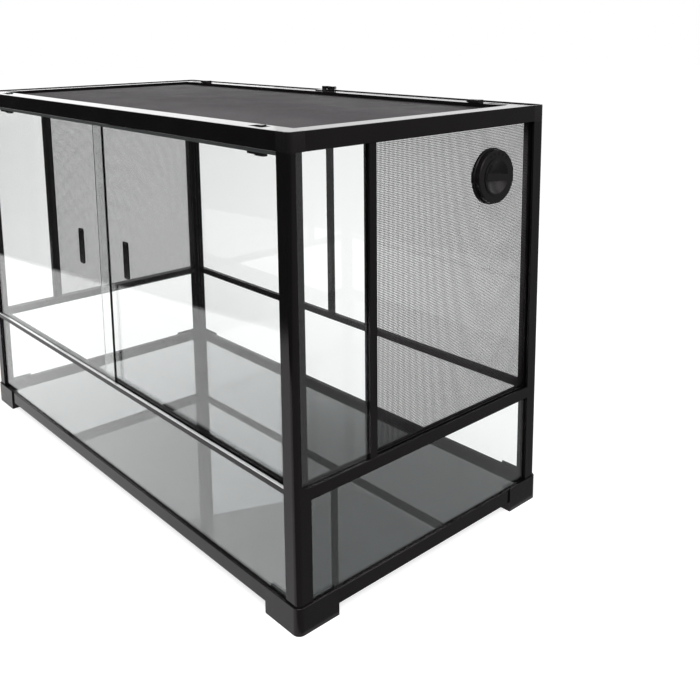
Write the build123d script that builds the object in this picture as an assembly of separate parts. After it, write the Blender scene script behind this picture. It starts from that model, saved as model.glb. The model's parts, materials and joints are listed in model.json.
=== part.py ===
from build123d import *
import os

# Glass and wire-mesh cage for a small animal, on a black frame of grooved bars.
# Two glass doors slide in the front, a mesh lid is hinged at the back of the top,
# and a twist cap closes a tube port in the right end.
# X runs along the length, the doors face -Y, and Z is up. The origin is on the
# ground under the middle of the cage. Sizes are in millimetres.

# Whole frame
CAGE_L = 1000.0
CAGE_D = 500.0
CAGE_H = 650.0

# Panes, and the grooves that hold them
GLASS_T = 4.0
GLASS_GAP = 0.3
GROOVE_DEPTH = 7.0
GROOVE_END_GAP = 0.5

# Posts and bars
POST_W = 25.0
POST_R = 8.0
LIP_T = 3.6
TRACK_WALL = 2.6
EDGE_BREAK = 0.6
END_LIP = 10.0
END_TUCK = 3.0
MULLION_W = 13.5
MULLION_WEB = 3.0
MULLION_FROM_FRONT = 135.5

# Feet and floor
FOOT_PAD = 14.0
FOOT_H = 39.0
FOOT_LEG = 70.0
FOOT_PROUD = 2.5
BASE_RAIL_H = 22.0
LEDGE_H = 6.0
FLOOR_T = 5.0
FLOOR_GAP = 0.5

# Middle and top rails. The long middle rails are shallower than those of the ends,
# and the front one is the doors' sill, with a bright trim along its lip.
MID_RAIL_Z = 180.0
MID_RAIL_H = 18.0
SILL_LIFT = 7.0
BACK_RAIL_LIFT = 5.0
SILL_DROP = 1.5
RAIL_WEB = 2.0
TRIM_T = 1.2
TOP_RAIL_H = 25.0
PEG_W = 7.0
PEG_L = 18.0
PEG_GAP = 0.1

# Foot screws
SCREW_D = 5.0
SCREW_GAP = 0.1
SCREW_HEAD_D = 9.0
SCREW_HEAD_H = 3.5
SCREW_SINK = 5.0
SCREW_GRIP = 18.0

# Sliding doors and their upper track
DOOR_OVERLAP = 40.0
DOOR_FOOT_GAP = 0.4
DOOR_HEAD_GAP = 0.6
TRACK_HANG = 5.0
TRACK_CHANNEL = 9.0
TRACK_LINER = 1.2
TRACK_FIT = 0.1
PULL_FROM_CENTRE = 70.0
PULL_W = 16.0
PULL_H = 60.0
PULL_T = 2.2
PULL_RIDGES = 5
RIDGE_W = 1.2
RIDGE_DEPTH = 0.7

# Wire mesh, taken as a thin plate with a bead round its edge
MESH_T = 1.2
BEAD_SETBACK = 1.0

# Lid
LID_H = 11.0
RIM_DROP = 1.5
LID_GAP = 0.8
LID_BAR_W = 36.0
LID_MESH_DROP = 6.0
LID_MESH_BITE = 3.5
LID_MESH_GAP = 0.1

# Lid hinge
HINGE_W = 32.0
HINGE_LEAF_T = 2.0
HINGE_LEAF_H = 18.0
HINGE_STRAP_T = 1.5
HINGE_STRAP_L = 20.0
KNUCKLE_R = 3.0
KNUCKLE_L = 12.0
KNUCKLE_GAP = 0.4
HINGE_SET_IN = 2.5
PIN_D = 2.4
PIN_GAP = 0.05

# Lid latches and the strikes that they hook under
LATCH_FROM_END = 92.0
LATCH_TRAVEL = 5.0
LATCH_GAP = 0.3
LATCH_PLATE_W = 33.4
LATCH_PLATE_T = 2.2
LATCH_FLANGE = 2.0
LATCH_TOP_T = 2.6
NUB_W = 12.0
NUB_D = 9.0
NUB_PROUD = 1.4
LEG_W = 18.0
LEG_T = 3.0
HOOK_L = 4.0
HOOK_H = 3.0
HOOK_GAP = 0.5
STRIKE_W = 27.0
STRIKE_D = 6.0
STRIKE_H = 18.0
STRIKE_HANG = 11.0
STRIKE_CLEAR = 2.4

# Wire inlets in the lid and their sliding gates
GATE_FROM_END = 122.0
GATE_L = 38.0
GATE_W = 9.0
GATE_FLANGE = 1.5
GATE_T = 1.8
GATE_TRAVEL = 36.0
GATE_GAP = 0.3
GATE_INSET = 3.0
GRIP_L = 24.0
GRIP_H = 5.0
GRIP_SET_IN = 0.5
INLET_L = 30.0
INLET_W = 7.0

# Tube port and its twist cap
PORT_FROM_BACK = 114.0
PORT_FROM_TOP = 99.0
PORT_FLANGE_D = 84.0
PORT_FLANGE_T = 4.7
PORT_NECK_D = 62.0
PORT_BORE_D = 54.0
PORT_NECK_L = 9.0
PORT_HOLE_GAP = 0.3
NUT_D = 70.0
NUT_T = 5.0
NUT_LUGS = 12
NUT_LUG_W = 5.0
NUT_LUG_H = 1.5
CAP_D = 80.0
CAP_T = 8.0
CAP_GAP = 0.3
CAP_BORE_GAP = 0.06
CAP_WALL = 2.6
CAP_WEB = 3.0
CAP_SNAP = 0.8
CAP_SNAP_L = 1.5
DISH_D = 50.0
DISH_DEPTH = 7.0
DISH_RING_W = 3.0
DISH_RING_H = 1.2
BAR_W = 10.0
BAR_PROUD = 0.8
TICKS = 5
TICK_L = 4.0
TICK_W = 1.2
TICK_H = 0.6
TICK_STEP_DEG = 16.0
CAP_REST_DEG = -7.0

# Places that follow from the sizes above
HX = CAGE_L / 2
HY = CAGE_D / 2
GROOVE_W = GLASS_T + 2 * GLASS_GAP
BITE = GROOVE_DEPTH - GROOVE_END_GAP
OUTER_GROOVE = LIP_T
INNER_GROOVE = OUTER_GROOVE + GROOVE_W + TRACK_WALL
BAR_D = INNER_GROOVE + GROOVE_W + TRACK_WALL
SLIM_D = OUTER_GROOVE + GROOVE_W + TRACK_WALL
MULLION_GROOVE = (MULLION_W - MULLION_WEB) / 2
MULLION_BITE = MULLION_GROOVE - GROOVE_END_GAP
BASE_TOP = FOOT_PAD + BASE_RAIL_H
FLOOR_Z = FOOT_PAD + LEDGE_H
MID_TOP = MID_RAIL_Z + MID_RAIL_H
SILL_Z = MID_RAIL_Z + SILL_LIFT
BACK_RAIL_Z = MID_RAIL_Z + BACK_RAIL_LIFT
SILL_TOP = MID_TOP - SILL_DROP
TOP_Z = CAGE_H - TOP_RAIL_H
LID_TOP = CAGE_H - RIM_DROP
SEAT_Z = LID_TOP - LID_H
SEAT_R = max(POST_R - LIP_T, EDGE_BREAK)
PEG_AT = BAR_D - PEG_W / 2 - LIP_T / 2
MULLION_Y = MULLION_FROM_FRONT - HY
END_GLASS_V = END_LIP - END_TUCK
MESH_D = INNER_GROOVE + GROOVE_W / 2
PORT_Y = HY - PORT_FROM_BACK
PORT_Z = CAGE_H - PORT_FROM_TOP
DOOR_Z1 = TOP_Z - DOOR_HEAD_GAP
LID_X = HX - LIP_T - LID_GAP
LID_Y = HY - LIP_T - LID_GAP
LID_MESH_Z = LID_TOP - LID_MESH_DROP
HINGE_Y = HY - HINGE_SET_IN
HINGE_Z = CAGE_H + KNUCKLE_R + KNUCKLE_GAP
LATCH_X = HX - LATCH_FROM_END
LATCH_Z = LID_TOP - LATCH_TOP_T
STRIKE_Y = -HY + BAR_D + STRIKE_D
LEG_Y = STRIKE_Y + STRIKE_CLEAR + HOOK_L
STRIKE_Z = TOP_Z - STRIKE_HANG
GATE_X = HX - GATE_FROM_END
GATE_Z = LID_TOP - GATE_T
GATE_Y = LID_Y - LID_BAR_W + GATE_INSET + GATE_FLANGE + GATE_W / 2

pieces = {}


def block(x0, x1, y0, y1, z0, z1):
    """A box between two corners."""
    return Pos(x0, y0, z0) * Box(x1 - x0, y1 - y0, z1 - z0, align=(Align.MIN, Align.MIN, Align.MIN))


def corner_block(u0, u1, v0, v1, z0, z1):
    """A box at the front right corner, u in from the end face and v in from the front face."""
    return block(HX - u1, HX - u0, -HY + v0, -HY + v1, z0, z1)


def round_upright(shape, x, y, radius):
    """Rounds the upright edge that stands at x, y."""
    def stands_here(edge):
        middle = edge.center()
        return abs(middle.X - x) < 0.01 and abs(middle.Y - y) < 0.01
    return fillet(shape.edges().filter_by(Axis.Z).filter_by(stands_here), radius)


def break_edges(bar):
    """Breaks the two long edges of a bar's outer face, which lies at y = 0."""
    return chamfer(bar.faces().sort_by(Axis.Y)[0].edges().filter_by(Axis.X), EDGE_BREAK)


def upright_rod(radius, z0, z1):
    """A round bar along Z, about the origin."""
    return Pos(0, 0, z0) * Cylinder(radius, z1 - z0, align=(Align.CENTER, Align.CENTER, Align.MIN))


def rod_x(radius, x0, x1, y, z):
    """A round bar along X."""
    return Pos(x0, y, z) * Rot(0, 90, 0) * upright_rod(radius, 0, x1 - x0)


def mirror_x(shape):
    return mirror(shape, about=Plane.YZ)


def mirror_y(shape):
    return mirror(shape, about=Plane.XZ)


def add_ends(name, shape):
    """Keeps a piece of the right end and its mirror image at the left end."""
    pieces["right_" + name] = shape
    pieces["left_" + name] = mirror_x(shape)


def add_corners(name, front, back):
    """Keeps four corner pieces, from the front right one and the back one drawn in its place."""
    pieces["front_right_" + name] = front
    pieces["front_left_" + name] = mirror_x(front)
    pieces["back_right_" + name] = mirror_y(back)
    pieces["back_left_" + name] = mirror_x(mirror_y(back))


# The underside, top and depth of each wall's middle rail, and how deep its underside is cut for the pane
MID_RAILS = {
    "front": (SILL_Z, SILL_TOP, BAR_D, BAR_D),
    "back": (BACK_RAIL_Z, MID_TOP, SLIM_D, OUTER_GROOVE + GROOVE_W),
    "right": (MID_RAIL_Z, MID_TOP, BAR_D, BAR_D),
    "left": (MID_RAIL_Z, MID_TOP, BAR_D, BAR_D),
}

# Each wall's bars are drawn with the outer face at y = 0 and inwards along +Y
WALLS = {
    "front": (Pos(0, -HY, 0), CAGE_L),
    "back": (Pos(0, HY, 0) * Rot(0, 0, 180), CAGE_L),
    "right": (Pos(HX, 0, 0) * Rot(0, 0, 90), CAGE_D),
    "left": (Pos(-HX, 0, 0) * Rot(0, 0, -90), CAGE_D),
}


def groove(half, depth_in, z0, z1):
    return block(-half, half, depth_in, depth_in + GROOVE_W, z0, z1)


def pane(half, depth_in, z0, z1):
    return block(-half, half, depth_in + GLASS_GAP, depth_in + GLASS_GAP + GLASS_T, z0, z1)


def base_rail(half):
    """A wall with a groove for the lower glass, and a ledge for the floor."""
    rail = break_edges(block(-half, half, 0, SLIM_D, FOOT_PAD, BASE_TOP))
    rail += block(-half, half, SLIM_D, POST_W, FOOT_PAD, FLOOR_Z)
    return rail - groove(half, OUTER_GROOVE, BASE_TOP - GROOVE_DEPTH, BASE_TOP)


def rail_cut(z0, z1):
    """How deep the top and the underside of a middle rail are cut for the panes."""
    return min(GROOVE_DEPTH, (z1 - z0 - RAIL_WEB) / 2)


def mid_rail(half, z0, z1, depth, under):
    """A bar cut out below, and with as many grooves on top as its depth has room for."""
    rail = break_edges(block(-half, half, 0, depth, z0, z1))
    cut = rail_cut(z0, z1)
    for depth_in in (OUTER_GROOVE, INNER_GROOVE):
        if depth_in + GROOVE_W < depth:
            rail -= groove(half, depth_in, z1 - cut, z1)
    return rail - block(-half, half, OUTER_GROOVE, under, z0, z0 + cut)


def sill_trim(half):
    """The bright strip that tops the sill's outer lip."""
    strip = block(-half, half, 0, LIP_T, SILL_TOP - TRIM_T, SILL_TOP)
    front = strip.faces().sort_by(Axis.Y)[0].edges().filter_by(Axis.X)
    return chamfer(front.sort_by(Axis.Z)[-1], EDGE_BREAK)


def top_rail_blank(half):
    """A bar with a rim round the lid's seat."""
    rail = break_edges(block(-half, half, 0, BAR_D, TOP_Z, CAGE_H))
    return rail - block(-half, half, LIP_T, BAR_D, SEAT_Z, CAGE_H)


def top_rail(half):
    rail = top_rail_blank(half)
    for depth_in in (OUTER_GROOVE, INNER_GROOVE):
        rail -= groove(half, depth_in, TOP_Z, TOP_Z + GROOVE_DEPTH)
    return rail


def front_top_rail(half):
    """The front bar has one wide channel, which the door track fills."""
    wide = TRACK_LINER + TRACK_FIT
    far = INNER_GROOVE + GROOVE_W + wide
    return top_rail_blank(half) - block(-half, half, OUTER_GROOVE - wide, far, TOP_Z, TOP_Z + TRACK_CHANNEL)


def door_track(half):
    """The strip with two deep grooves that guides the tops of the doors."""
    far = INNER_GROOVE + GROOVE_W + TRACK_LINER
    top = TOP_Z + TRACK_CHANNEL
    strip = block(-half, half, OUTER_GROOVE - TRACK_LINER, far, TOP_Z - TRACK_HANG, top)
    for depth_in in (OUTER_GROOVE, INNER_GROOVE):
        strip -= groove(half, depth_in, TOP_Z - TRACK_HANG, top - TRACK_LINER)
    return strip


def foot():
    """A moulded corner cap with a pad under the rails and a thin wall round them."""
    inner = FOOT_LEG - FOOT_PROUD
    cap = corner_block(-FOOT_PROUD, inner, -FOOT_PROUD, POST_W, 0, FOOT_H)
    cap += corner_block(-FOOT_PROUD, POST_W, -FOOT_PROUD, inner, 0, FOOT_H)
    cap = round_upright(cap, HX + FOOT_PROUD, -HY - FOOT_PROUD, POST_R + FOOT_PROUD)
    cap = chamfer(cap.faces().sort_by(Axis.Z)[-1].outer_wire().edges(), EDGE_BREAK)
    pocket = corner_block(0, FOOT_LEG, 0, FOOT_LEG, FOOT_PAD, FOOT_H)
    cap -= round_upright(pocket, HX, -HY, POST_R)
    screw_at = Pos(HX - PEG_AT, -HY + PEG_AT, 0)
    cap -= screw_at * upright_rod(SCREW_D / 2 + SCREW_GAP, 0, FOOT_PAD)
    return cap - screw_at * upright_rod(SCREW_HEAD_D / 2 + SCREW_GAP, 0, SCREW_SINK)


def foot_screw():
    head = upright_rod(SCREW_HEAD_D / 2, SCREW_SINK - SCREW_HEAD_H, SCREW_SINK)
    shank = upright_rod(SCREW_D / 2, SCREW_SINK, FOOT_PAD + SCREW_GRIP)
    return Pos(HX - PEG_AT, -HY + PEG_AT, 0) * (head + shank)


def end_glass_pocket():
    """The room that the front end pane needs in the front post and the corner above it."""
    v0 = END_GLASS_V - GROOVE_END_GAP
    z0 = MID_TOP - GROOVE_DEPTH
    z1 = TOP_Z + GROOVE_DEPTH
    return corner_block(OUTER_GROOVE, OUTER_GROOVE + GROOVE_W, v0, POST_W, z0, z1)


def side_grooves(z0, z1):
    """Both grooves in the two faces of a corner that the bars and panes meet."""
    near = POST_W - GROOVE_DEPTH
    cuts = []
    for depth_in in (OUTER_GROOVE, INNER_GROOVE):
        cuts.append(corner_block(near, POST_W, depth_in, depth_in + GROOVE_W, z0, z1))
        cuts.append(corner_block(depth_in, depth_in + GROOVE_W, near, POST_W, z0, z1))
    return cuts


def peg(gap):
    """The square peg that joins a top corner to its post, or its socket with a gap round it."""
    low = PEG_AT - PEG_W / 2 - gap
    high = PEG_AT + PEG_W / 2 + gap
    return corner_block(low, high, low, high, TOP_Z - PEG_L - gap, TOP_Z)


def post():
    """A round-cornered post with grooves in its two inner faces, a peg socket and a screw hole."""
    bar = round_upright(corner_block(0, POST_W, 0, POST_W, FOOT_PAD, TOP_Z), HX, -HY, POST_R)
    bar -= corner_block(BAR_D, POST_W, BAR_D, POST_W, FOOT_PAD, TOP_Z)
    for cut in side_grooves(FOOT_PAD, TOP_Z):
        bar -= cut
    bar -= peg(PEG_GAP)
    hole = upright_rod(SCREW_D / 2 + SCREW_GAP, FOOT_PAD, FOOT_PAD + SCREW_GRIP + SCREW_GAP)
    return bar - Pos(HX - PEG_AT, -HY + PEG_AT, 0) * hole


def front_post():
    """The front post's end face is cut back above the middle rail, where the end pane laps it."""
    bar = post() - corner_block(0, LIP_T, END_LIP, POST_W, MID_TOP, TOP_Z)
    return bar - end_glass_pocket()


def top_corner():
    """A corner connector with the rim, the lid's seat and a peg down into the post."""
    corner = round_upright(corner_block(0, POST_W, 0, POST_W, TOP_Z, CAGE_H), HX, -HY, POST_R)
    corner = chamfer(corner.faces().sort_by(Axis.Z)[-1].edges(), EDGE_BREAK)
    seat = corner_block(LIP_T, POST_W, LIP_T, POST_W, SEAT_Z, CAGE_H)
    corner -= round_upright(seat, HX - LIP_T, -HY + LIP_T, SEAT_R)
    corner -= corner_block(BAR_D, POST_W, BAR_D, POST_W, TOP_Z, SEAT_Z)
    for cut in side_grooves(TOP_Z, TOP_Z + GROOVE_DEPTH):
        corner -= cut
    return corner + peg(0)


def mullion_blank(depth):
    """An upright bar between the middle and top rails, with its outer face at y = 0."""
    half = MULLION_W / 2
    bar = block(-half, half, 0, depth, MID_TOP, TOP_Z)
    return chamfer(bar.faces().sort_by(Axis.Y)[0].edges().filter_by(Axis.Z), EDGE_BREAK)


def mullion_groove(depth_in):
    """A groove in the side of a mullion at +X."""
    x1 = MULLION_W / 2
    return block(x1 - MULLION_GROOVE, x1, depth_in, depth_in + GROOVE_W, MID_TOP, TOP_Z)


def back_mullion():
    """A slim bar with a groove for a pane in each side."""
    bar = mullion_blank(SLIM_D) - mullion_groove(OUTER_GROOVE)
    return bar - mirror_x(mullion_groove(OUTER_GROOVE))


def end_mullion():
    """A bar that is slim on the pane's side, at -X, and deep on the mesh's side, at +X."""
    bar = mullion_blank(BAR_D) - mullion_groove(INNER_GROOVE)
    bar -= mirror_x(mullion_groove(OUTER_GROOVE))
    x0 = -MULLION_W / 2
    return bar - block(x0, x0 + MULLION_GROOVE, SLIM_D, BAR_D, MID_TOP, TOP_Z)


def floor_panel():
    """One sheet on the base rails' ledges, with its corners cut out round the posts."""
    x = HX - SLIM_D - FLOOR_GAP
    y = HY - SLIM_D - FLOOR_GAP
    sheet = block(-x, x, -y, y, FLOOR_Z, FLOOR_Z + FLOOR_T)
    cut = POST_W + FLOOR_GAP
    notch = corner_block(0, cut, 0, cut, FLOOR_Z, FLOOR_Z + FLOOR_T)
    for shape in (notch, mirror_x(notch), mirror_y(notch), mirror_x(mirror_y(notch))):
        sheet -= shape
    return sheet


def end_glass():
    """The pane between the front post and the mullion of the right end."""
    x1 = HX - OUTER_GROOVE - GLASS_GAP
    y1 = MULLION_Y - MULLION_W / 2 + MULLION_BITE
    return block(x1 - GLASS_T, x1, -HY + END_GLASS_V, y1, MID_TOP - BITE, TOP_Z + BITE)


def end_mesh():
    """The mesh sheet of the right end, with a bead round it in the grooves."""
    x = HX - MESH_D
    y0 = MULLION_Y + MULLION_W / 2 - MULLION_BITE
    y1 = HY - POST_W + BITE
    z0 = MID_TOP - BITE
    z1 = TOP_Z + BITE
    sheet = block(x - MESH_T / 2, x + MESH_T / 2, y0, y1, z0, z1)
    bead = block(x - GLASS_T / 2, x + GLASS_T / 2, y0, y1, z0, z1)
    inset = BITE - BEAD_SETBACK
    near = y0 + MULLION_BITE - BEAD_SETBACK
    bead -= block(x - GLASS_T / 2, x + GLASS_T / 2, near, y1 - inset, z0 + inset, z1 - inset)
    return sheet + bead


def port_hole():
    """The round hole that the port's neck goes through."""
    x = HX - MESH_D
    return rod_x(PORT_NECK_D / 2 + PORT_HOLE_GAP, x - GLASS_T, x + GLASS_T, PORT_Y, PORT_Z)


def back_pane():
    """The right one of the two upper back panes."""
    y1 = HY - OUTER_GROOVE - GLASS_GAP
    x0 = MULLION_W / 2 - MULLION_BITE
    z0 = MID_TOP - rail_cut(BACK_RAIL_Z, MID_TOP) + GROOVE_END_GAP
    return block(x0, HX - POST_W + BITE, y1 - GLASS_T, y1, z0, TOP_Z + BITE)


def door(depth_in):
    """A right-hand sliding pane in the groove that starts depth_in behind the front face."""
    y0 = -HY + depth_in + GLASS_GAP
    z0 = SILL_TOP - rail_cut(SILL_Z, SILL_TOP) + DOOR_FOOT_GAP
    return block(-DOOR_OVERLAP / 2, HX - POST_W + BITE, y0, y0 + GLASS_T, z0, DOOR_Z1)


def door_pull(depth_in):
    """A thin ridged finger grip on the outer face of a right-hand door."""
    y1 = -HY + depth_in + GLASS_GAP
    z = (MID_TOP + TOP_Z) / 2
    x0 = PULL_FROM_CENTRE - PULL_W / 2
    grip = block(x0, x0 + PULL_W, y1 - PULL_T, y1, z - PULL_H / 2, z + PULL_H / 2)
    grip = fillet(grip.edges().filter_by(Axis.Y), PULL_W / 4)
    pitch = PULL_W / (PULL_RIDGES + 1)
    for i in range(PULL_RIDGES):
        x = x0 + (i + 1) * pitch
        low = z - PULL_H / 2 + PULL_W / 4
        high = z + PULL_H / 2 - PULL_W / 4
        grip -= block(x - RIDGE_W / 2, x + RIDGE_W / 2, y1 - PULL_T, y1 - PULL_T + RIDGE_DEPTH, low, high)
    return grip


def latch_slider(gap, ahead, leg_z0):
    """A latch's flanged plate and its leg, with a gap round them and room ahead to travel."""
    half = LATCH_PLATE_W / 2 + gap
    y1 = LEG_Y + LEG_T + gap
    y0 = y1 - NUB_D - ahead - 2 * gap
    slider = block(LATCH_X - half, LATCH_X + half, y0, y1, LATCH_Z - LATCH_PLATE_T - gap, LATCH_Z + gap)
    half = LEG_W / 2 + gap
    return slider + block(LATCH_X - half, LATCH_X + half, LEG_Y - ahead - gap, y1, leg_z0, LATCH_Z)


def latch_window():
    """The room for a latch in the lid, open above its plate but for the lips that hold it down."""
    room = latch_slider(LATCH_GAP, LATCH_TRAVEL, SEAT_Z)
    half = LATCH_PLATE_W / 2 - LATCH_FLANGE
    y1 = LEG_Y + LEG_T + LATCH_GAP
    y0 = y1 - NUB_D - LATCH_TRAVEL - 2 * LATCH_GAP
    return room + block(LATCH_X - half, LATCH_X + half, y0, y1, LATCH_Z, LID_TOP)


def latch():
    """A thumb nub on a plate that slides in the lid, with a leg down to a hook."""
    hook_z1 = STRIKE_Z - HOOK_GAP
    hook_z0 = hook_z1 - HOOK_H
    slider = latch_slider(0, 0, hook_z0)
    y1 = LEG_Y + LEG_T
    nub = block(LATCH_X - NUB_W / 2, LATCH_X + NUB_W / 2, y1 - NUB_D, y1, LATCH_Z, LID_TOP + NUB_PROUD)
    nub = chamfer(nub.faces().sort_by(Axis.Z)[-1].edges(), EDGE_BREAK)
    hook = block(LATCH_X - LEG_W / 2, LATCH_X + LEG_W / 2, LEG_Y - HOOK_L, y1, hook_z0, hook_z1)
    return slider + nub + hook


def strike():
    """The block on the front rail's inner face that a latch hooks under."""
    y0 = STRIKE_Y - STRIKE_D
    half = STRIKE_W / 2
    shape = block(LATCH_X - half, LATCH_X + half, y0, STRIKE_Y, STRIKE_Z, STRIKE_Z + STRIKE_H)
    return chamfer(shape.faces().sort_by(Axis.Y)[-1].edges().filter_by(Axis.Z), STRIKE_D / 2)


def gate_slider(gap, reach):
    """A gate's flanged plate, with a gap round it and room to slide outwards."""
    x0 = GATE_X - gap
    x1 = GATE_X + GATE_L + reach + gap
    half = GATE_W / 2 + gap
    flange = half + GATE_FLANGE
    slider = block(x0, x1, GATE_Y - half, GATE_Y + half, GATE_Z, LID_TOP)
    return slider + block(x0, x1, GATE_Y - flange, GATE_Y + flange, GATE_Z - GATE_T - gap, GATE_Z + gap)


def gate_track():
    """The slot that a gate slides in, and the wire inlet that it covers."""
    x0 = GATE_X + (GATE_L - INLET_L) / 2
    half = INLET_W / 2
    inlet = block(x0, x0 + INLET_L, GATE_Y - half, GATE_Y + half, SEAT_Z, GATE_Z)
    return gate_slider(GATE_GAP, GATE_TRAVEL) + inlet


def gate():
    """A plate over the wire inlet, with a grip at its inner end that reaches to the lid's inner edge."""
    x1 = GATE_X + GRIP_L
    y0 = LID_Y - LID_BAR_W + GRIP_SET_IN
    y1 = GATE_Y + GATE_W / 2
    grip = block(GATE_X, x1, y0, y1, LID_TOP + GATE_GAP, LID_TOP + GRIP_H)
    grip = chamfer(grip.faces().sort_by(Axis.Z)[-1].edges(), EDGE_BREAK)
    neck = block(GATE_X, x1, GATE_Y - GATE_W / 2, y1, LID_TOP, LID_TOP + GATE_GAP)
    return gate_slider(0, 0) + neck + grip


def lid_frame():
    """Four bars in one, with a slot for the mesh, the latches' windows and the gates' tracks."""
    outer = extrude(RectangleRounded(2 * LID_X, 2 * LID_Y, SEAT_R), LID_H)
    frame = Pos(0, 0, SEAT_Z) * chamfer(outer.faces().sort_by(Axis.Z)[-1].edges(), EDGE_BREAK)
    in_x = LID_X - LID_BAR_W
    in_y = LID_Y - LID_BAR_W
    frame -= block(-in_x, in_x, -in_y, in_y, SEAT_Z, LID_TOP)
    slot = LID_MESH_BITE + LID_MESH_GAP
    z0 = LID_MESH_Z - MESH_T - LID_MESH_GAP
    frame -= block(-in_x - slot, in_x + slot, -in_y - slot, in_y + slot, z0, LID_MESH_Z + LID_MESH_GAP)
    for cut in (latch_window(), gate_track()):
        frame -= cut
        frame -= mirror_x(cut)
    return frame


def lid_mesh():
    x = LID_X - LID_BAR_W + LID_MESH_BITE
    y = LID_Y - LID_BAR_W + LID_MESH_BITE
    return block(-x, x, -y, y, LID_MESH_Z - MESH_T, LID_MESH_Z)


def hinge_leaf():
    """The plate on the back rail, with the middle knuckle."""
    y1 = HY + HINGE_LEAF_T
    leaf = block(-HINGE_W / 2, HINGE_W / 2, HY, y1, CAGE_H - HINGE_LEAF_H, CAGE_H)
    half = KNUCKLE_L / 2
    leaf += block(-half, half, HINGE_Y, y1, CAGE_H, HINGE_Z)
    leaf += rod_x(KNUCKLE_R, -half, half, HINGE_Y, HINGE_Z)
    return leaf - rod_x(PIN_D / 2 + PIN_GAP, -half, half, HINGE_Y, HINGE_Z)


def hinge_strap():
    """The plate on the lid, with a knuckle each side of the middle one."""
    y1 = HINGE_Y - KNUCKLE_R - KNUCKLE_GAP
    strap = block(-HINGE_W / 2, HINGE_W / 2, y1 - HINGE_STRAP_L, y1, LID_TOP, LID_TOP + HINGE_STRAP_T)
    near = KNUCKLE_L / 2 + KNUCKLE_GAP
    knuckle = block(near, HINGE_W / 2, y1 - KNUCKLE_R, y1, LID_TOP, HINGE_Z + KNUCKLE_R)
    knuckle += block(near, HINGE_W / 2, y1, HINGE_Y, HINGE_Z, HINGE_Z + KNUCKLE_R)
    knuckle += rod_x(KNUCKLE_R, near, HINGE_W / 2, HINGE_Y, HINGE_Z)
    knuckle -= rod_x(PIN_D / 2 + PIN_GAP, near, HINGE_W / 2, HINGE_Y, HINGE_Z)
    return strap + knuckle + mirror_x(knuckle)


def hinge_pin():
    return rod_x(PIN_D / 2, -HINGE_W / 2, HINGE_W / 2, HINGE_Y, HINGE_Z)


# The port's pieces are drawn along +Z with the mesh's outer face at z = 0
PORT_PLACE = Pos(HX - MESH_D + MESH_T / 2, PORT_Y, PORT_Z) * Rot(0, 90, 0)
NECK_Z = -MESH_T - PORT_NECK_L


def port_flange():
    """The ring outside the mesh and the neck that goes through it."""
    ring = upright_rod(PORT_FLANGE_D / 2, 0, PORT_FLANGE_T)
    ring = chamfer(ring.faces().sort_by(Axis.Z)[-1].edges(), 2 * EDGE_BREAK)
    ring += upright_rod(PORT_NECK_D / 2, NECK_Z, 0)
    return PORT_PLACE * (ring - upright_rod(PORT_BORE_D / 2, NECK_Z, PORT_FLANGE_T))


def port_nut():
    """The ring that clamps the mesh from inside, with grip lugs round it."""
    nut = upright_rod(NUT_D / 2 - NUT_LUG_H, -MESH_T - NUT_T, -MESH_T)
    lug_half = NUT_LUG_W / 2
    lug = block(0, NUT_D / 2, -lug_half, lug_half, -MESH_T - NUT_T, -MESH_T)
    for i in range(NUT_LUGS):
        nut += Rot(0, 0, 360 * i / NUT_LUGS) * lug
    nut -= upright_rod(PORT_NECK_D / 2, -MESH_T - NUT_T, -MESH_T)
    return PORT_PLACE * nut


def port_cap():
    """A disc with a dished grip, on a plug that turns in the port's bore, drawn a little turned."""
    z0 = PORT_FLANGE_T + CAP_GAP
    z1 = z0 + CAP_T
    disc = upright_rod(CAP_D / 2, z0, z1)
    disc = chamfer(disc.faces().sort_by(Axis.Z)[-1].edges(), 2 * EDGE_BREAK)
    plug_r = PORT_BORE_D / 2 - CAP_BORE_GAP
    plug_end = NECK_Z - CAP_GAP
    plug = upright_rod(plug_r, plug_end, z0)
    plug += upright_rod(PORT_BORE_D / 2 + CAP_SNAP, plug_end - CAP_SNAP_L, plug_end)
    plug -= upright_rod(plug_r - CAP_WALL, plug_end - CAP_SNAP_L, z0 - CAP_WEB)
    ring_r = DISH_D / 2 + DISH_RING_W
    disc += upright_rod(ring_r, z1, z1 + DISH_RING_H)
    face = z1 + DISH_RING_H
    dish_r = DISH_D / 2
    ball_r = (dish_r ** 2 + DISH_DEPTH ** 2) / (2 * DISH_DEPTH)
    disc -= Pos(0, 0, face - DISH_DEPTH + ball_r) * Sphere(ball_r)
    bar = block(-BAR_W / 2, BAR_W / 2, -dish_r, dish_r, face - DISH_DEPTH, face + BAR_PROUD)
    bar &= upright_rod(dish_r, face - DISH_DEPTH, face + BAR_PROUD)
    cap = disc + plug + bar
    tick_r = (ring_r + CAP_D / 2) / 2
    first = -TICK_STEP_DEG * (TICKS - 1) / 2
    for i in range(TICKS):
        tick = block(tick_r - TICK_L / 2, tick_r + TICK_L / 2, -TICK_W / 2, TICK_W / 2, z1, z1 + TICK_H)
        cap += Rot(0, 0, 180 + first + i * TICK_STEP_DEG) * tick
    return PORT_PLACE * Rot(0, 0, CAP_REST_DEG) * cap


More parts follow.
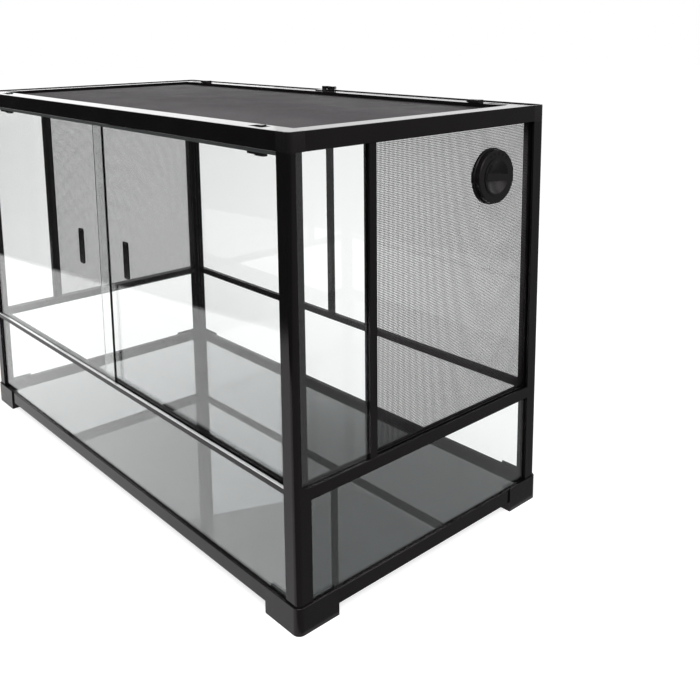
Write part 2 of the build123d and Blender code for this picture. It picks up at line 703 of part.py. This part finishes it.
# Rails of the four walls
for wall, (at, span) in WALLS.items():
    half = span / 2 - POST_W
    pieces[wall + "_base_rail"] = at * base_rail(half)
    z0, z1, depth, under = MID_RAILS[wall]
    pieces[wall + "_mid_rail"] = at * mid_rail(half, z0, z1, depth, under)
    pieces[wall + "_top_rail"] = at * (front_top_rail(half) if wall == "front" else top_rail(half))
    pane_top = z0 + rail_cut(z0, z1) - GROOVE_END_GAP
    pieces[wall + "_lower_glass"] = at * pane(half + BITE, OUTER_GROOVE, BASE_TOP - BITE, pane_top)
    if wall == "front":
        pieces["door_track"] = at * door_track(half)
        pieces["sill_trim"] = at * sill_trim(half)
        pieces["front_mid_rail"] -= at * block(-half, half, 0, LIP_T, SILL_TOP - TRIM_T, SILL_TOP)

# Corners
add_corners("foot", foot(), foot())
add_corners("post", front_post(), post())
add_corners("top_corner", top_corner() - end_glass_pocket(), top_corner())
screw = foot_screw()
screws = [screw, mirror_x(screw), mirror_y(screw), mirror_x(mirror_y(screw))]
pieces["foot_screws"] = Compound(children=screws)

# Floor, mullions and fixed panels
pieces["floor_panel"] = floor_panel()
add_ends("mullion", Pos(HX, MULLION_Y, 0) * Rot(0, 0, 90) * end_mullion())
pieces["back_mullion"] = Pos(0, HY, 0) * Rot(0, 0, 180) * back_mullion()
add_ends("end_glass", end_glass())
add_ends("end_mesh", end_mesh())
pieces["right_end_mesh"] -= port_hole()
add_ends("back_glass", back_pane())

# Port
pieces["port_flange"] = port_flange()
pieces["port_nut"] = port_nut()
pieces["port_cap"] = port_cap()

# Doors: the right one runs in the inner grooves and the left one in the outer grooves
pieces["right_door_glass"] = door(INNER_GROOVE)
pieces["right_door_pull"] = door_pull(INNER_GROOVE)
pieces["left_door_glass"] = mirror_x(door(OUTER_GROOVE))
pieces["left_door_pull"] = mirror_x(door_pull(OUTER_GROOVE))

# Lid and its fittings
pieces["lid_frame"] = lid_frame()
pieces["lid_mesh"] = lid_mesh()
pieces["lid_hinge_leaf"] = hinge_leaf()
pieces["lid_hinge_strap"] = hinge_strap()
pieces["lid_hinge_pin"] = hinge_pin()
add_ends("lid_latch", latch())
pieces["lid_strikes"] = Compound(children=[strike(), mirror_x(strike())])
add_ends("inlet_gate", gate())

os.makedirs("parts", exist_ok=True)
for name, shape in pieces.items():
    export_step(shape, "parts/" + name + ".step")
print(len(pieces), "pieces")
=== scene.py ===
import bpy
import json
import math
from mathutils import Matrix, Vector


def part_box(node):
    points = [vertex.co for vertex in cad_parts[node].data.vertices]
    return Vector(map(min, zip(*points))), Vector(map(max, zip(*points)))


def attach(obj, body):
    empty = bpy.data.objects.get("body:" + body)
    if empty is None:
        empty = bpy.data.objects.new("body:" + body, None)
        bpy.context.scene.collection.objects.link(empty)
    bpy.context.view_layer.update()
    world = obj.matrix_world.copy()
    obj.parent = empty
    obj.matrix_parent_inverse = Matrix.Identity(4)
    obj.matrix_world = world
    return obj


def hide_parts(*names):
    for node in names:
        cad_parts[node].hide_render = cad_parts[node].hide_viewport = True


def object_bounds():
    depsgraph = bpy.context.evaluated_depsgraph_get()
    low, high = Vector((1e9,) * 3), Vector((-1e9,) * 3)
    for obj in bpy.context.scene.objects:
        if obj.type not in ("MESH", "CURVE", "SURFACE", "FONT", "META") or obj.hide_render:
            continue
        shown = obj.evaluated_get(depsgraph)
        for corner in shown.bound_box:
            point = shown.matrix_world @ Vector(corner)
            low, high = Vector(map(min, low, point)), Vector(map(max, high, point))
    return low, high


# The looks of a glass and wire-mesh cage. Lengths are in metres, in the frame of the solids.

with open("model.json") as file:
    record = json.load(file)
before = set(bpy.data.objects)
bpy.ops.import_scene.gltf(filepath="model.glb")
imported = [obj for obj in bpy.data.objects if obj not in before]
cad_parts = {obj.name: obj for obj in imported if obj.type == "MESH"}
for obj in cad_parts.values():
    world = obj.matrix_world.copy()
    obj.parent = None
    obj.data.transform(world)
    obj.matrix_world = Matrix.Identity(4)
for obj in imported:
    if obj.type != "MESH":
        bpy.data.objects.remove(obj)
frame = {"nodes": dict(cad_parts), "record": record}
cad_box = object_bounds()
NODES = frame["nodes"]
SCENE = bpy.context.scene

# Wire mesh
MESH_PITCH = 0.0024
WIRE_D = 0.00076
WIRE_SIDES = 6
LAYER_LIFT = 0.48 * WIRE_D
MESH_EDGE_IN = 0.0004
PORT_HOLE_R = 0.0313

# Gloss of the black coats, and its tints there and on the floor's dark backing
BLACK_GLOSS = 0.18
WARM_GLOSS = (1.0, 0.88, 0.93, 1)
COOL_GLOSS = (0.86, 0.96, 1.0, 1)

# Glass: its index, what a pane lets through of a lamp's light, and the green along its edges
GLASS_IOR = 1.5
GLASS_LETS = (0.90, 0.93, 0.915, 1)
GLASS_GREEN = (0.30, 0.78, 0.58, 1)
GLASS_DENSITY = 4.0

# Where most of a noise's values lie, the count that tells a bounce from none, and the colour
# sockets of a Mix node
NOISE_RANGE = (0.3, 0.7)
ANY_BOUNCE = 0.5
MIX_LOW = 6
MIX_HIGH = 7
MIX_RESULT = 2

# Camera
CAMERA_AT = (1.2891, -0.8689, 0.7696)
CAMERA_AZIMUTH = 47.84
CAMERA_ELEVATION = 9.64
CAMERA_ROLL = -0.52
CAMERA_LENS = 44.82
CAMERA_SENSOR = 36.0
CAMERA_SHIFT_Y = -0.25

# Studio
FLOOR_HALF = 14.0
FLOOR_COLOUR = (0.55, 0.55, 0.55, 1)
FLOOR_GLOW = 0.72
DARK_CARD_L = 24.0
FRONT_CARD_AT = (-0.54, -0.87)
FRONT_CARD_TURN = -9.5
FRONT_CARD_LIFT = 0.0010
FRONT_CARD_FADE = 0.035
FRONT_CARD_GREY = 0.03
SIDE_CARD_GAP = 0.004
SIDE_CARD_LIFT = 0.0005
RIGHT_FLOOR_GREY = 0.35
LEFT_FLOOR_GREY = 0.12
WHITE_CARD_AWAY = 3.0
BACK_CARD_TURN = 32.0
BACK_CARD_SIZE = (2.6, 0.95)
BACK_CARD_LEVEL = 1.3
LEFT_CARD_TURN = 67.0
LEFT_CARD_SIZE = (1.7, 1.65)
LEFT_CARD_LEVEL = 1.7
WHITE_CARD_FOOT = 0.33
UPRIGHT = 90.0
HORIZON_BAND = (0.36, 0.46)
UPPER_GREY = 0.60
FILL_LEVEL = 0.55
KEY_AT = (1.4, -1.2, 2.6)
KEY_SIZE = (2.4, 2.4)
KEY_WATTS = 60.0
SIDE_AT = (2.6, 1.2, 1.5)
SIDE_SIZE = (1.8, 1.8)
SIDE_WATTS = 20.0


# Node helpers

def blank_material(name):
    """A new material and its empty node tree."""
    material = bpy.data.materials.new(name)
    material.use_nodes = True
    material.node_tree.nodes.clear()
    return material, material.node_tree


def node(tree, kind, **settings):
    """A shader node with its properties and unlinked inputs set by name."""
    made = tree.nodes.new("ShaderNode" + kind)
    for key, value in settings.items():
        label = key.replace("_", " ").title()
        if label in made.inputs:
            made.inputs[label].default_value = value
        else:
            setattr(made, key, value)
    return made


def noise(tree, coords, scale, detail=4.0, roughness=0.5):
    """A noise of about 0 to 1, with scale features to the metre."""
    made = node(tree, "TexNoise", scale=scale, detail=detail, roughness=roughness)
    tree.links.new(coords, made.inputs["Vector"])
    return made.outputs["Fac"]


def spread(tree, value, low, high):
    """A noise's common values, spread over a range."""
    made = node(tree, "MapRange")
    made.inputs["From Min"].default_value = NOISE_RANGE[0]
    made.inputs["From Max"].default_value = NOISE_RANGE[1]
    made.inputs["To Min"].default_value = low
    made.inputs["To Max"].default_value = high
    tree.links.new(value, made.inputs["Value"])
    return made.outputs["Result"]


def blend_colour(tree, value, low, high):
    """A colour between two, by a 0 to 1 value."""
    made = node(tree, "Mix", data_type="RGBA")
    made.inputs[MIX_LOW].default_value = low
    made.inputs[MIX_HIGH].default_value = high
    tree.links.new(value, made.inputs[0])
    return made.outputs[MIX_RESULT]


def bump(tree, height, distance):
    """A normal that follows a height of 0 to 1 times a distance in metres."""
    made = node(tree, "Bump", strength=1.0, distance=distance)
    tree.links.new(height, made.inputs["Height"])
    return made.outputs["Normal"]


def object_coords(tree):
    """Coordinates in metres that ride with the piece."""
    return node(tree, "TexCoord").outputs["Object"]


def drawn_lines(tree, scale):
    """A noise that is stretched into lines along X."""
    stretch = node(tree, "Mapping")
    stretch.inputs["Scale"].default_value = scale
    tree.links.new(object_coords(tree), stretch.inputs["Vector"])
    return noise(tree, stretch.outputs["Vector"], scale=1.0)


def coat(tree, shader, colour, roughness):
    """Links a shader's colour and roughness."""
    tree.links.new(colour, shader.inputs["Base Color"])
    tree.links.new(roughness, shader.inputs["Roughness"])


def show(tree, surface):
    """Ends a material with its surface, and returns the output."""
    output = node(tree, "OutputMaterial")
    tree.links.new(surface, output.inputs["Surface"])
    return output


# Materials

def black_shader(tree):
    """The low, warm gloss of the black coats."""
    shader = node(tree, "BsdfPrincipled")
    shader.inputs["Specular IOR Level"].default_value = BLACK_GLOSS
    shader.inputs["Specular Tint"].default_value = WARM_GLOSS
    return shader


def black_bar():
    """Black satin coat on aluminium, with a fine grain and slightly uneven gloss."""
    material, tree = blank_material("black_bar")
    coords = object_coords(tree)
    shader = black_shader(tree)
    cloud = noise(tree, coords, scale=14.0)
    grain = noise(tree, coords, scale=2200.0, detail=2.0)
    dark = (0.0040, 0.0036, 0.0038, 1)
    light = (0.0075, 0.0069, 0.0072, 1)
    colour = blend_colour(tree, cloud, dark, light)
    roughness = spread(tree, cloud, low=0.05, high=0.09)
    coat(tree, shader, colour, roughness)
    tree.links.new(bump(tree, grain, distance=0.00002), shader.inputs["Normal"])
    show(tree, shader.outputs["BSDF"])
    return material


def black_moulding():
    """Black moulded plastic with a fine spark-eroded grain."""
    material, tree = blank_material("black_moulding")
    coords = object_coords(tree)
    shader = black_shader(tree)
    cloud = noise(tree, coords, scale=30.0)
    grain = noise(tree, coords, scale=1300.0, detail=3.0)
    dark = (0.0042, 0.0039, 0.0041, 1)
    light = (0.0080, 0.0075, 0.0079, 1)
    colour = blend_colour(tree, cloud, dark, light)
    roughness = spread(tree, grain, low=0.16, high=0.24)
    coat(tree, shader, colour, roughness)
    tree.links.new(bump(tree, grain, distance=0.00012), shader.inputs["Normal"])
    show(tree, shader.outputs["BSDF"])
    return material


def track_plastic():
    """Dark grey extruded plastic, with draw lines along the strip."""
    material, tree = blank_material("track_plastic")
    shader = node(tree, "BsdfPrincipled")
    lines = drawn_lines(tree, (3.0, 900.0, 900.0))
    dark = (0.020, 0.025, 0.025, 1)
    light = (0.034, 0.040, 0.040, 1)
    colour = blend_colour(tree, lines, dark, light)
    roughness = spread(tree, lines, low=0.35, high=0.5)
    coat(tree, shader, colour, roughness)
    tree.links.new(bump(tree, lines, distance=0.00005), shader.inputs["Normal"])
    show(tree, shader.outputs["BSDF"])
    return material


def clear_glass():
    """Float glass: clear across its thickness, green along it, and open to lamp light."""
    material, tree = blank_material("clear_glass")
    coords = object_coords(tree)
    shader = node(tree, "BsdfPrincipled")
    shader.inputs["IOR"].default_value = GLASS_IOR
    shader.inputs["Transmission Weight"].default_value = 1.0
    shader.inputs["Base Color"].default_value = (1, 1, 1, 1)
    smear = noise(tree, coords, scale=9.0)
    tree.links.new(spread(tree, smear, low=0.0, high=0.004), shader.inputs["Roughness"])
    open_to_lamps = node(tree, "BsdfTransparent")
    open_to_lamps.inputs["Color"].default_value = GLASS_LETS
    path = node(tree, "LightPath")
    pick = node(tree, "MixShader")
    tree.links.new(path.outputs["Is Shadow Ray"], pick.inputs["Fac"])
    tree.links.new(shader.outputs["BSDF"], pick.inputs[1])
    tree.links.new(open_to_lamps.outputs["BSDF"], pick.inputs[2])
    depth = node(tree, "VolumeAbsorption")
    depth.inputs["Color"].default_value = GLASS_GREEN
    depth.inputs["Density"].default_value = GLASS_DENSITY
    output = show(tree, pick.outputs["Shader"])
    tree.links.new(depth.outputs["Volume"], output.inputs["Volume"])
    return material


def floor_glass():
    """Glass with a dark coat on its underside, so it mirrors over a deep grey."""
    material, tree = blank_material("floor_glass")
    coords = object_coords(tree)
    shader = node(tree, "BsdfPrincipled")
    shader.inputs["IOR"].default_value = GLASS_IOR
    shader.inputs["Specular Tint"].default_value = COOL_GLOSS
    shader.inputs["Coat Weight"].default_value = 1.0
    shader.inputs["Coat IOR"].default_value = GLASS_IOR
    shader.inputs["Coat Roughness"].default_value = 0.0
    cloud = noise(tree, coords, scale=5.0)
    dark = (0.0060, 0.0068, 0.0068, 1)
    light = (0.0085, 0.0095, 0.0095, 1)
    colour = blend_colour(tree, cloud, dark, light)
    roughness = spread(tree, cloud, low=0.002, high=0.012)
    coat(tree, shader, colour, roughness)
    show(tree, shader.outputs["BSDF"])
    return material


def black_mesh():
    """Black coated wire, with a slightly uneven coat."""
    material, tree = blank_material("black_mesh")
    coords = object_coords(tree)
    shader = node(tree, "BsdfPrincipled")
    cloud = noise(tree, coords, scale=18.0)
    dark = (0.035, 0.031, 0.034, 1)
    light = (0.049, 0.044, 0.048, 1)
    colour = blend_colour(tree, cloud, dark, light)
    roughness = spread(tree, cloud, low=0.35, high=0.5)
    coat(tree, shader, colour, roughness)
    show(tree, shader.outputs["BSDF"])
    return material


def bright_metal():
    """A painted highlight: bright metal that stands in for the line of light along the strip, with
    fine draw lines along it.
    """
    material, tree = blank_material("bright_metal")
    shader = node(tree, "BsdfPrincipled", metallic=1.0)
    lines = drawn_lines(tree, (4.0, 2600.0, 2600.0))
    # Near-white metal colours: a painted highlight in place of the line of light along the strip
    dark = (0.82, 0.82, 0.83, 1)
    light = (0.90, 0.90, 0.91, 1)
    colour = blend_colour(tree, lines, dark, light)
    roughness = spread(tree, lines, low=0.22, high=0.32)
    coat(tree, shader, colour, roughness)
    show(tree, shader.outputs["BSDF"])
    return material


def steel():
    """Zinc-plated steel with fine turning marks."""
    material, tree = blank_material("steel")
    coords = object_coords(tree)
    shader = node(tree, "BsdfPrincipled", metallic=1.0)
    grain = noise(tree, coords, scale=900.0)
    dark = (0.42, 0.42, 0.43, 1)
    light = (0.52, 0.52, 0.53, 1)
    colour = blend_colour(tree, grain, dark, light)
    roughness = spread(tree, grain, low=0.25, high=0.4)
    coat(tree, shader, colour, roughness)
    show(tree, shader.outputs["BSDF"])
    return material


SLOTS = {
    "black_bar": black_bar(),
    "black_moulding": black_moulding(),
    "track_plastic": track_plastic(),
    "clear_glass": clear_glass(),
    "floor_glass": floor_glass(),
    "black_mesh": black_mesh(),
    # bright_metal is a painted highlight: bright metal in place of the line of light along the
    # strip
    "bright_metal": bright_metal(),
    "steel": steel(),
}

# Each node of the frame gets the material of its slot
for part in frame["record"]["subparts"]:
    materials = NODES[part["node"]].data.materials
    materials.clear()
    materials.append(SLOTS[part["material_slot"]])


# Wire mesh

def wire(verts, faces, start, end):
    """Adds one round wire between two points."""
    along = (end - start).normalized()
    side = along.orthogonal().normalized()
    over = along.cross(side)
    first = len(verts)
    for centre in (start, end):
        for i in range(WIRE_SIDES):
            turn = 2 * math.pi * i / WIRE_SIDES
            verts.append(centre + (side * math.cos(turn) + over * math.sin(turn)) * (WIRE_D / 2))
    for i in range(WIRE_SIDES):
        j = (i + 1) % WIRE_SIDES
        faces.append((first + i, first + j, first + WIRE_SIDES + j, first + WIRE_SIDES + i))
    faces.append(tuple(first + i for i in reversed(range(WIRE_SIDES))))
    faces.append(tuple(first + WIRE_SIDES + i for i in range(WIRE_SIDES)))


def spans(low, high, at, hole):
    """The stretches of a wire from low to high that stay clear of a round hole.

    at is the wire's place across the hole, and hole its centre along, centre across and radius.
    """
    if hole is None or abs(at - hole[1]) >= hole[2]:
        return [(low, high)]
    reach = math.sqrt(hole[2] ** 2 - (at - hole[1]) ** 2)
    return [(low, hole[0] - reach), (hole[0] + reach, high)]


def mesh_sheet(name, corner, across, up, hole=None):
    """Two layers of straight wires over a flat rectangle.

    corner is one corner, across and up its two sides as vectors, and hole an optional round
    hole as its distance along across, its distance along up and its radius.
    """
    verts = []
    faces = []
    width = across.length
    height = up.length
    a = across.normalized()
    b = up.normalized()
    lift = a.cross(b) * LAYER_LIFT
    upright_hole = hole and (hole[1], hole[0], hole[2])
    for i in range(int(width / MESH_PITCH)):
        x = (i + 0.5) * MESH_PITCH
        for low, high in spans(0, height, x, upright_hole):
            wire(verts, faces, corner + a * x + b * low + lift, corner + a * x + b * high + lift)
    for i in range(int(height / MESH_PITCH)):
        y = (i + 0.5) * MESH_PITCH
        for low, high in spans(0, width, y, hole):
            wire(verts, faces, corner + b * y + a * low - lift, corner + b * y + a * high - lift)
    data = bpy.data.meshes.new(name)
    data.from_pydata(verts, [], faces)
    data.shade_smooth()
    sheet = bpy.data.objects.new(name, data)
    SCENE.collection.objects.link(sheet)
    data.materials.append(SLOTS["black_mesh"])
    return sheet


def lid_sheet():
    """The mesh of the lid."""
    low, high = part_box("lid_mesh")
    z = (low.z + high.z) / 2
    corner = Vector((low.x + MESH_EDGE_IN, low.y + MESH_EDGE_IN, z))
    across = Vector((high.x - low.x - 2 * MESH_EDGE_IN, 0, 0))
    up = Vector((0, high.y - low.y - 2 * MESH_EDGE_IN, 0))
    sheet = mesh_sheet("lid_wire_mesh", corner, across, up)
    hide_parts("lid_mesh")
    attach(sheet, "lid")


def end_sheet(side, hole=None):
    """The mesh of one end, round an optional hole given by its centre and radius."""
    low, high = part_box(side + "_end_mesh")
    x = (low.x + high.x) / 2
    corner = Vector((x, low.y + MESH_EDGE_IN, low.z + MESH_EDGE_IN))
    across = Vector((0, high.y - low.y - 2 * MESH_EDGE_IN, 0))
    up = Vector((0, 0, high.z - low.z - 2 * MESH_EDGE_IN))
    if hole:
        centre, radius = hole
        hole = (centre.y - corner.y, centre.z - corner.z, radius)
    sheet = mesh_sheet(side + "_end_wire_mesh", corner, across, up, hole)
    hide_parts(side + "_end_mesh")
    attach(sheet, "frame")


def port_hole():
    """The centre of the port, and the radius that its mesh is cut to."""
    low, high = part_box("port_flange")
    return (low + high) / 2, PORT_HOLE_R


lid_sheet()
end_sheet("left")
end_sheet("right", port_hole())


# Studio

def plate(name, size, at, material, turn=0.0, tilt=0.0):
    """A flat stage rectangle, centred on its place, tilted about X and then turned about Z."""
    data = bpy.data.meshes.new(name)
    x = size[0] / 2
    y = size[1] / 2
    data.from_pydata([(-x, -y, 0), (x, -y, 0), (x, y, 0), (-x, y, 0)], [], [(0, 1, 2, 3)])
    data.materials.append(material)
    made = bpy.data.objects.new(name, data)
    made.location = at
    made.rotation_euler = (math.radians(tilt), 0, math.radians(turn))
    SCENE.collection.objects.link(made)
    return made


def mirrored(tree):
    """1 for light that has met a glossy surface on its way to the eye, and 0 for the rest."""
    path = node(tree, "LightPath")
    made = node(tree, "Math", operation="GREATER_THAN")
    tree.links.new(path.outputs["Glossy Depth"], made.inputs[0])
    made.inputs[1].default_value = ANY_BOUNCE
    return made.outputs["Value"]


def faded(tree, value, edge, width):
    """The value, faded to nothing over the last stretch before an edge along Y."""
    split = node(tree, "SeparateXYZ")
    tree.links.new(object_coords(tree), split.inputs["Vector"])
    fade = node(tree, "MapRange", interpolation_type="SMOOTHSTEP")
    fade.inputs["From Min"].default_value = edge - width
    fade.inputs["From Max"].default_value = edge
    fade.inputs["To Min"].default_value = 1.0
    fade.inputs["To Max"].default_value = 0.0
    tree.links.new(split.outputs["Y"], fade.inputs["Value"])
    made = node(tree, "Math", operation="MULTIPLY")
    tree.links.new(value, made.inputs[0])
    tree.links.new(fade.outputs["Result"], made.inputs[1])
    return made.outputs["Value"]


def card(name, size, at, level, turn=0.0, tilt=0.0, fade=0.0):
    """A dark or white studio card that shows in reflections alone, and may fade at its +Y edge."""
    material, tree = blank_material(name)
    glow = node(tree, "Emission", strength=level)
    clear = node(tree, "BsdfTransparent")
    pick = node(tree, "MixShader")
    shown = mirrored(tree)
    if fade:
        shown = faded(tree, shown, size[1] / 2, fade)
    tree.links.new(shown, pick.inputs["Fac"])
    tree.links.new(clear.outputs["BSDF"], pick.inputs[1])
    tree.links.new(glow.outputs["Emission"], pick.inputs[2])
    show(tree, pick.outputs["Shader"])
    made = plate(name, size, at, material, turn, tilt)
    made.visible_camera = False
    made.visible_diffuse = False
    made.visible_shadow = False


def dark_cards():
    """Cards on the floor: past the paper's edge in front, and beside both ends."""
    square = (DARK_CARD_L, DARK_CARD_L)
    reach = DARK_CARD_L / 2
    turn = math.radians(FRONT_CARD_TURN)
    x = FRONT_CARD_AT[0] + math.sin(turn) * reach
    y = FRONT_CARD_AT[1] - math.cos(turn) * reach
    at = (x, y, FRONT_CARD_LIFT)
    card("front_card", square, at, FRONT_CARD_GREY, FRONT_CARD_TURN, fade=FRONT_CARD_FADE)
    x = cad_box[1].x + SIDE_CARD_GAP + reach
    card("right_floor_card", square, (x, 0, SIDE_CARD_LIFT), RIGHT_FLOOR_GREY)
    x = cad_box[0].x - SIDE_CARD_GAP - reach
    y = cad_box[0].y + reach
    card("left_floor_card", square, (x, y, SIDE_CARD_LIFT), LEFT_FLOOR_GREY)


def white_card(name, turn, size, level):
    """A card that stands behind the object, facing it."""
    angle = math.radians(turn)
    x = -math.sin(angle) * WHITE_CARD_AWAY
    y = math.cos(angle) * WHITE_CARD_AWAY
    card(name, size, (x, y, WHITE_CARD_FOOT + size[1] / 2), level, turn, UPRIGHT)


def floor_material():
    """White paper that reads as plain white and still takes the object's shadow."""
    material, tree = blank_material("studio_floor")
    paper = node(tree, "BsdfDiffuse")
    paper.inputs["Color"].default_value = FLOOR_COLOUR
    glow = node(tree, "Emission")
    path = node(tree, "LightPath")
    seen = node(tree, "Math", operation="MAXIMUM")
    tree.links.new(path.outputs["Is Camera Ray"], seen.inputs[0])
    either = node(tree, "Math", operation="MAXIMUM")
    tree.links.new(path.outputs["Is Glossy Ray"], either.inputs[0])
    tree.links.new(path.outputs["Is Transmission Ray"], either.inputs[1])
    tree.links.new(either.outputs["Value"], seen.inputs[1])
    share = node(tree, "Math", operation="MULTIPLY")
    tree.links.new(seen.outputs["Value"], share.inputs[0])
    share.inputs[1].default_value = FLOOR_GLOW
    tree.links.new(share.outputs["Value"], glow.inputs["Strength"])
    both = node(tree, "AddShader")
    tree.links.new(paper.outputs["BSDF"], both.inputs[0])
    tree.links.new(glow.outputs["Emission"], both.inputs[1])
    show(tree, both.outputs["Shader"])
    return material


def studio():
    """The floor, and the cards that the gloss and the glass mirror."""
    plate("studio_floor", (2 * FLOOR_HALF, 2 * FLOOR_HALF), (0, 0, 0), floor_material())
    dark_cards()
    white_card("back_card", BACK_CARD_TURN, BACK_CARD_SIZE, BACK_CARD_LEVEL)
    white_card("left_card", LEFT_CARD_TURN, LEFT_CARD_SIZE, LEFT_CARD_LEVEL)


def sky():
    """White to the eye and through glass, a dimmer fill elsewhere, and greyer high up in gloss."""
    world = bpy.data.worlds.new("studio")
    SCENE.world = world
    world.use_nodes = True
    tree = world.node_tree
    tree.nodes.clear()
    path = node(tree, "LightPath")
    coords = node(tree, "TexCoord")
    split = node(tree, "SeparateXYZ")
    tree.links.new(coords.outputs["Generated"], split.inputs["Vector"])
    band = node(tree, "MapRange", interpolation_type="SMOOTHSTEP")
    band.inputs["From Min"].default_value = HORIZON_BAND[0]
    band.inputs["From Max"].default_value = HORIZON_BAND[1]
    band.inputs["To Min"].default_value = 1.0
    band.inputs["To Max"].default_value = UPPER_GREY
    tree.links.new(split.outputs["Z"], band.inputs["Value"])
    clear = node(tree, "Math", operation="MAXIMUM")
    tree.links.new(path.outputs["Is Camera Ray"], clear.inputs[0])
    tree.links.new(path.outputs["Is Transmission Ray"], clear.inputs[1])
    direct = node(tree, "Mix", data_type="FLOAT")
    direct.inputs["A"].default_value = FILL_LEVEL
    direct.inputs["B"].default_value = 1.0
    tree.links.new(clear.outputs["Value"], direct.inputs["Factor"])
    level = node(tree, "Mix", data_type="FLOAT")
    tree.links.new(mirrored(tree), level.inputs["Factor"])
    tree.links.new(direct.outputs["Result"], level.inputs["A"])
    tree.links.new(band.outputs["Result"], level.inputs["B"])
    background = node(tree, "Background")
    background.inputs["Color"].default_value = (1, 1, 1, 1)
    tree.links.new(level.outputs["Result"], background.inputs["Strength"])
    output = node(tree, "OutputWorld")
    tree.links.new(background.outputs["Background"], output.inputs["Surface"])


def softbox(name, at, size, watts):
    """A rectangular lamp aimed at the middle of the object, unseen by the eye and through glass."""
    data = bpy.data.lights.new(name, "AREA")
    data.shape = "RECTANGLE"
    data.size = size[0]
    data.size_y = size[1]
    data.energy = watts
    lamp = bpy.data.objects.new(name, data)
    lamp.location = at
    middle = (cad_box[0] + cad_box[1]) / 2
    lamp.rotation_euler = (middle - Vector(at)).to_track_quat("-Z", "Y").to_euler()
    lamp.visible_camera = False
    lamp.visible_transmission = False
    SCENE.collection.objects.link(lamp)


def camera():
    """The camera of the photograph, with the part of its lens shift that other views can bear."""
    data = bpy.data.cameras.new("camera")
    data.sensor_width = CAMERA_SENSOR
    data.lens = CAMERA_LENS
    data.shift_y = CAMERA_SHIFT_Y
    made = bpy.data.objects.new("camera", data)
    SCENE.collection.objects.link(made)
    azimuth = math.radians(CAMERA_AZIMUTH)
    elevation = math.radians(CAMERA_ELEVATION)
    flat = math.cos(elevation)
    look = Vector((-math.sin(azimuth) * flat, math.cos(azimuth) * flat, -math.sin(elevation)))
    turn = look.to_track_quat("-Z", "Y").to_matrix().to_4x4()
    roll = Matrix.Rotation(math.radians(CAMERA_ROLL), 4, "Z")
    made.matrix_world = Matrix.Translation(CAMERA_AT) @ turn @ roll
    SCENE.camera = made


studio()
sky()
softbox("key", KEY_AT, KEY_SIZE, KEY_WATTS)
softbox("side", SIDE_AT, SIDE_SIZE, SIDE_WATTS)
camera()
SCENE.view_settings.view_transform = "Standard"
